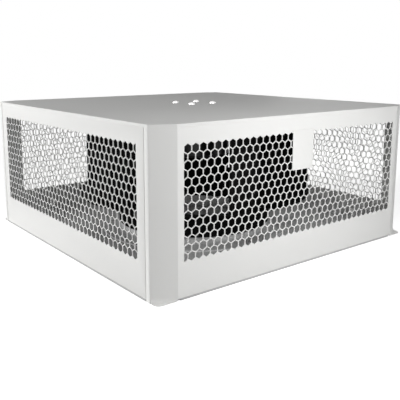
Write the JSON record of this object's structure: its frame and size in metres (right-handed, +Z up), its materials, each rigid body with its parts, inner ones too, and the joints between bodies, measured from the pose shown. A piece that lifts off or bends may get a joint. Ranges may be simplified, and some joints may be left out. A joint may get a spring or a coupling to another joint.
{
  "type": "enclosure roof fan",
  "caption": "Low square roof fan for an enclosure: chamfered sheet-metal hood with honeycomb side grilles over a backward-curved impeller on an external-rotor motor.",
  "frame": {"origin": "centre of the footprint on the roof, under the seal", "axes": "+Z up along the impeller's axis, -Y towards the front panel, +X to the right seen from the front"},
  "size_m": [0.4, 0.4, 0.1756],
  "materials": {
    "hood_paint": "fine textured powder coat",
    "zinc_sheet": "galvanised",
    "zinc_fastener": "zinc plated",
    "rivet_aluminium": "bright",
    "seal_foam": "closed-cell foam",
    "grommet_rubber": "matte",
    "black_plastic": "satin",
    "box_plastic": "matte",
    "motor_casting": "as cast",
    "can_paint": "satin black",
    "bright_steel": "ground",
    "core_steel": "laminated",
    "magnet": "sintered",
    "copper": "enamelled copper"
  },
  "bodies": {
    "housing": {"front_panel": "hood_paint", "rear_panel": "hood_paint", "left_panel": "hood_paint", "right_panel": "hood_paint", "top_plate": "hood_paint", "base_tray": "zinc_sheet", "inlet_nozzle": "zinc_sheet", "mounting_rivet_nuts": "zinc_fastener", "panel_studs": "zinc_fastener", "panel_nuts": "zinc_fastener", "top_plate_studs": "zinc_fastener", "top_plate_nuts": "zinc_fastener", "motor_screws": "zinc_fastener", "lid_screws": "zinc_fastener", "nozzle_rivets": "rivet_aluminium", "roof_seal": "seal_foam", "cable_grommet": "grommet_rubber", "terminal_box": "box_plastic", "terminal_box_lid": "box_plastic", "motor_flange": "motor_casting", "lower_bearing": "bright_steel", "upper_bearing": "bright_steel", "stator_core": "core_steel", "stator_windings": "copper"},
    "rotor": {"rotor_can": "can_paint", "rotor_magnets": "magnet", "rotor_shaft": "bright_steel", "shaft_circlip": "zinc_fastener", "impeller_back_plate": "black_plastic", "impeller_shroud": "black_plastic", "hub_screws": "zinc_fastener", "impeller_blade_1": "black_plastic", "impeller_blade_2": "black_plastic", "impeller_blade_3": "black_plastic", "impeller_blade_4": "black_plastic", "impeller_blade_5": "black_plastic"}
  },
  "joints": [
    {"name": "impeller_spin", "type": "hinge", "parent": "housing", "child": "rotor", "pos_m": [0, 0, 0.13], "axis": [0, 0, 1], "continuous": true}
  ]
}
